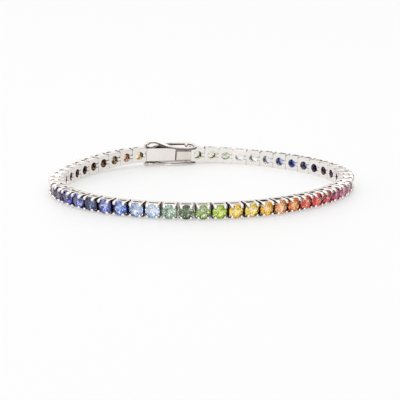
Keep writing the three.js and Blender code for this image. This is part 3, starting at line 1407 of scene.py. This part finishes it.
@dataclass
class SafetyLatch:
    """A figure-eight of wire: its small loop turns in the box's lug, and its large loop snaps
    over the tongue's stud. The wire crosses itself once."""

    pins: PinLine
    gold: bpy.types.Material
    shade_finish: bpy.types.Material
    side: Side
    middle: float = 1.6
    wire_radius: float = 0.35
    steps_between: int = 5
    # Faces of the wire that look at the clasp get painted shade, from this share of straight at it
    shaded_upper: float = -0.2
    shaded_lower: float = -0.6
    sides: int = 12
    # Along the wire: distance from the clasp's hinge, distance outward from the latch's middle,
    # and height from the clasp's middle for the upper and for the lower latch
    course: tuple[tuple[float, float, float, float], ...] = (
        (12.35, 0.00, 1.62, 2.06),
        (12.20, 1.00, 1.72, 2.06),
        (11.50, 1.45, 1.80, 2.08),
        (9.50, 1.50, 1.84, 2.12),
        (7.00, 1.35, 1.86, 2.10),
        (5.40, 0.85, 1.86, 2.00),
        (3.90, 0.00, 1.84, 1.88),
        (2.90, -0.65, 1.84, 1.98),
        (1.90, -1.10, 1.87, 2.10),
        (1.05, -0.95, 1.86, 2.16),
        (0.75, 0.00, 1.85, 2.18),
        (1.05, 0.95, 2.05, 2.20),
        (1.90, 1.10, 2.42, 2.28),
        (2.90, 0.65, 2.54, 2.36),
        (3.90, -0.20, 2.36, 2.38),
        (5.40, -1.30, 1.92, 2.32),
        (7.00, -1.90, 1.62, 2.24),
        (9.50, -1.95, 1.36, 2.17),
        (11.50, -1.80, 1.38, 2.09),
        (12.20, -1.20, 1.48, 2.06),
    )

    def build(self) -> bpy.types.Object:
        """Builds the latch, closed, and puts it on its own body.

        Returns:
            The latch.
        """
        word = self.side.name.lower()
        steps = len(self.course) * self.steps_between
        loops = wire(self._path, self.wire_radius, steps, self.sides)
        ways = [loops.outlook(face)[1] for face in loops.faces]
        shaded = self.shaded_upper if self.side is Side.UPPER else self.shaded_lower
        loops.shaded_faces = {i for i, way in enumerate(ways) if way.z < shaded}
        placed = loops.moved(self.side.flip).moved(self.pins.clasp_frame())
        finish = (self.gold, self.shade_finish)
        made = placed.build(f"figure_eight_{word}", finish, WIRE_SMOOTH_BELOW_DEG)
        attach(made, f"{word}_latch")
        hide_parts(f"safety_latch_{word}")
        return made

    def _path(self, turn: float) -> Vector:
        """Follows a smooth curve through the course's points.

        Args:
            turn: How far round the wire, from 0 to a full circle.

        Returns:
            The wire's middle there.
        """
        count = len(self.course)
        place = turn / (2 * math.pi) * count
        first = math.floor(place)
        share = place - first
        a, b, c, d = (self._point((first + step) % count) for step in (-1, 0, 1, 2))
        return (
            b * 2
            + (c - a) * share
            + (a * 2 - b * 5 + c * 4 - d) * share**2
            + (b * 3 - a - c * 3 + d) * share**3
        ) / 2

    def _point(self, index: int) -> Vector:
        """Reads one point of the course.

        Args:
            index: Its place in the course.

        Returns:
            The point in the clasp's frame.
        """
        distance, aside, upper, lower = self.course[index]
        height = upper if self.side is Side.UPPER else lower
        return Vector((self.middle + aside, -distance, height))


# The studio


@dataclass
class Studio:
    """A pale seamless floor, soft light from all round, and the camera."""

    aim_mm: Point = (-0.481, 6.76, -4.113)
    distance_mm: float = 477.5
    elevation_deg: float = 13.54
    roll_deg: float = 1.17
    lens_mm: float = 193.2
    clip_m: tuple[float, float] = (0.01, 20)
    floor_size_m: float = 4.0
    floor_colour: str = "A4A4A4"
    floor_roughness: float = 0.5
    floor_glow: float = 0.465
    tent_strength: float = 1.22
    tent_rise: tuple[tuple[float, str], ...] = (
        (0.0, "BEB8B4"),
        (0.12, "DAD6D4"),
        (0.3, "EAE8E8"),
        (0.6, "FFFFFF"),
    )
    tent_side: tuple[tuple[float, str], ...] = (
        (0.0, "FFFFFF"),
        (0.62, "FFFFFF"),
        (0.8, "3C3836"),
        (1.0, "2C2A28"),
    )

    # Softboxes for the highlights: name, place and size in metres, and power in watts
    softboxes: tuple[tuple[str, Point, tuple[float, float], float], ...] = (
        ("top_softbox", (-0.1, -0.05, 0.5), (0.3, 0.2), 0.35),
        ("front_softbox", (-0.12, -0.5, 0.3), (0.2, 0.12), 0.2),
    )

    def build(self) -> None:
        """Builds the floor, the lights and the camera."""
        self._camera()
        self._floor()
        self._world()
        for softbox in self.softboxes:
            self._softbox(*softbox)
        view = bpy.context.scene.view_settings
        view.view_transform = "Standard"
        view.look = "None"

    def _camera(self) -> None:
        """Sets the camera at the photographed angle."""
        elevation, roll = math.radians(self.elevation_deg), math.radians(self.roll_deg)
        back = Vector((0, -math.cos(elevation), math.sin(elevation)))
        side, up = Vector((1, 0, 0)), Vector((0, math.sin(elevation), math.cos(elevation)))
        right = side * math.cos(roll) + up * math.sin(roll)
        upward = up * math.cos(roll) - side * math.sin(roll)
        data = bpy.data.cameras.new("camera")
        data.lens = self.lens_mm
        data.clip_start = self.clip_m[0]
        data.clip_end = self.clip_m[1]
        camera = bpy.data.objects.new("camera", data)
        bpy.context.scene.collection.objects.link(camera)
        turn = Matrix((right, upward, back)).transposed().to_4x4()
        place = (Vector(self.aim_mm) + back * self.distance_mm) * MM
        camera.matrix_world = Matrix.Translation(place) @ turn
        bpy.context.scene.camera = camera

    def _floor(self) -> None:
        """Lays a white acrylic sheet that glows a little, as on a light table."""
        half = self.floor_size_m / 2
        mesh = bpy.data.meshes.new("floor")
        corners = [(-half, -half, 0), (half, -half, 0), (half, half, 0), (-half, half, 0)]
        mesh.from_pydata(corners, [], [(0, 1, 2, 3)])
        material, tree = new_material("white_acrylic_floor")
        shader = add_node(
            tree,
            "ShaderNodeBsdfPrincipled",
            {
                "Base Color": linear(self.floor_colour),
                "Roughness": self.floor_roughness,
                "Emission Color": linear("FFFFFF"),
                "Emission Strength": self.floor_glow,
            },
        )
        add_node(tree, "ShaderNodeOutputMaterial", {"Surface": shader.outputs[0]})
        mesh.materials.append(material)
        floor = bpy.data.objects.new("floor", mesh)
        bpy.context.scene.collection.objects.link(floor)

    def _world(self) -> None:
        """Surrounds the set with a bright tent, darker at the horizon and dark on the right."""
        world = bpy.data.worlds.new("light_tent")
        world.use_nodes = True
        world.node_tree.nodes.clear()
        tree = world.node_tree
        way = add_node(tree, "ShaderNodeTexCoord").outputs["Generated"]
        parts = add_node(tree, "ShaderNodeSeparateXYZ", {"Vector": way})
        rise = add_node(tree, "ShaderNodeValToRGB", {"Fac": parts.outputs["Z"]})
        self._fill_ramp(rise, self.tent_rise)
        side = add_node(tree, "ShaderNodeValToRGB", {"Fac": parts.outputs["X"]})
        self._fill_ramp(side, self.tent_side)
        both = add_node(
            tree,
            "ShaderNodeMix",
            {"Factor": 1.0, MIX_A: rise.outputs["Color"], MIX_B: side.outputs["Color"]},
            data_type="RGBA",
            blend_type="MULTIPLY",
        )
        glow = {"Color": both.outputs[MIX_RESULT], "Strength": self.tent_strength}
        light = add_node(tree, "ShaderNodeBackground", glow)
        add_node(tree, "ShaderNodeOutputWorld", {"Surface": light.outputs[0]})
        bpy.context.scene.world = world

    @staticmethod
    def _fill_ramp(ramp: bpy.types.Node, stops: Sequence[tuple[float, str]]) -> None:
        """Gives a colour ramp its stops.

        Args:
            ramp: The colour ramp's node.
            stops: For each stop, its position and its hex colour.
        """
        elements = ramp.color_ramp.elements
        while len(elements) < len(stops):
            elements.new(1.0)
        for element, (position, colour) in zip(elements, stops):
            element.position = position
            element.color = linear(colour)

    @staticmethod
    def _softbox(name: str, place: Point, size: tuple[float, float], power: float) -> None:
        """Hangs one softbox that faces the bracelet.

        Args:
            name: Its name.
            place: Where it hangs, in metres.
            size: Its width and height in metres.
            power: Its power in watts.
        """
        data = bpy.data.lights.new(name, "AREA")
        data.shape = "RECTANGLE"
        data.size, data.size_y = size
        data.energy = power
        lamp = bpy.data.objects.new(name, data)
        lamp.location = place
        lamp.rotation_euler = (-Vector(place)).to_track_quat("-Z", "Y").to_euler()
        bpy.context.scene.collection.objects.link(lamp)


def main() -> None:
    """Builds the studio and the bracelet's pieces in order."""
    logging.basicConfig(level=logging.INFO)
    Studio().build()
    pins = PinLine()
    gold = WhiteGold("rhodium_plated_white_gold").material()
    # A greyer, warmer copy of the metal for the wire: painted shade for the darker reflections that
    # round wire shows
    shaded_wire_gold = WhiteGold("wire_gold_painted_grey", warm="C8BEB6").material()
    # Painted shade: near-black faces in the gaps and hollows, so that each link and stone stands out by
    # itself
    shade_finish = PaintedShadeGold().material()
    # Lighter painted shade on the tongue's faces towards the box and latch, and on the latches'
    # undersides
    soft_shade_finish = PaintedShadeGold("painted_shade_grey_gold", "7C726A").material()
    # The tongue is only filed, so that it is slightly warmer and darker than the box
    filed_gold = WhiteGold("filed_white_gold", bright="EAE4DC", warm="D6CEC5").material()
    pieces = LinkLine(pins, gold, shade_finish).build()
    pieces.append(ClaspBox(pins, gold, shade_finish).build())
    pieces.append(ClaspTongue(pins, filed_gold, soft_shade_finish).build())
    pieces += [SafetyLatch(pins, shaded_wire_gold, soft_shade_finish, side).build() for side in Side]
    for piece in pieces:
        log.info("%s: %d faces", piece.name, len(piece.data.polygons))


if __name__ == "__main__":
    main()
